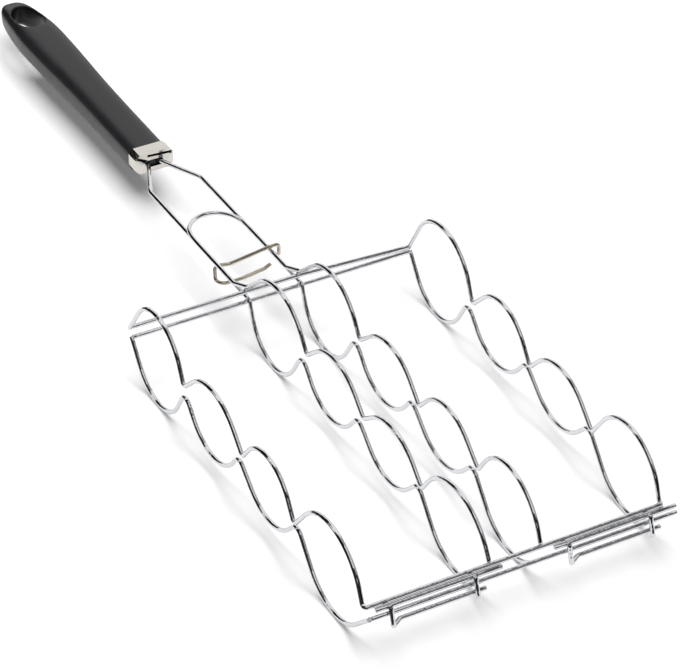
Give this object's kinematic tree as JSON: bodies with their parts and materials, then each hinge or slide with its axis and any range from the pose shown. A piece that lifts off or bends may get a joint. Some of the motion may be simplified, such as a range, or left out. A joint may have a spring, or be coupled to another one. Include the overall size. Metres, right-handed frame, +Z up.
{
  "type": "corn grilling basket",
  "caption": "Long-handled grilling basket for corn: two hinged halves of scalloped chrome wire, a spring latch clip, and a black grip with a hanging hole.",
  "frame": {"origin": "on the surface that the closed basket lies on, under the middle of its whole length and width", "axes": "+X from the grip towards the hinge, +Y to the right seen from the grip, which is the hinge bar's overhanging end, +Z up"},
  "size_m": [0.6377, 0.1894, 0.0666],
  "materials": {
    "grip": "matte black",
    "ferrule": "satin nickel",
    "wire": "bright chrome plate",
    "clip": "heat-tinted spring steel"
  },
  "bodies": {
    "base": {"grip": "grip", "ferrule": "ferrule", "lower_rib_left": "wire", "handle_wire_left": "wire", "handle_wire_right": "wire", "lower_rib_right": "wire", "rear_crossbar_lower": "wire", "hinge_bar": "wire"},
    "lid": {"lid_outer_wire": "wire", "lid_centre_wire": "wire", "rear_crossbar_upper": "wire", "hinge_rod_left": "wire", "hinge_hook_left": "wire", "hinge_link_left": "wire", "hinge_rod_right": "wire", "hinge_hook_right": "wire", "hinge_link_right": "wire"},
    "latch": {"latch_clip": "clip"}
  },
  "joints": [
    {"name": "lid_hinge", "type": "hinge", "parent": "base", "child": "lid", "pos_m": [0.312, 0, 0.024], "axis": [0, 1, 0], "range_deg": [0, 160]},
    {"name": "latch_swing", "type": "hinge", "parent": "base", "child": "latch", "pos_m": [0.0075, -0.0169, 0.02883], "axis": [1, 0, 0], "range_deg": [0, 75]}
  ]
}
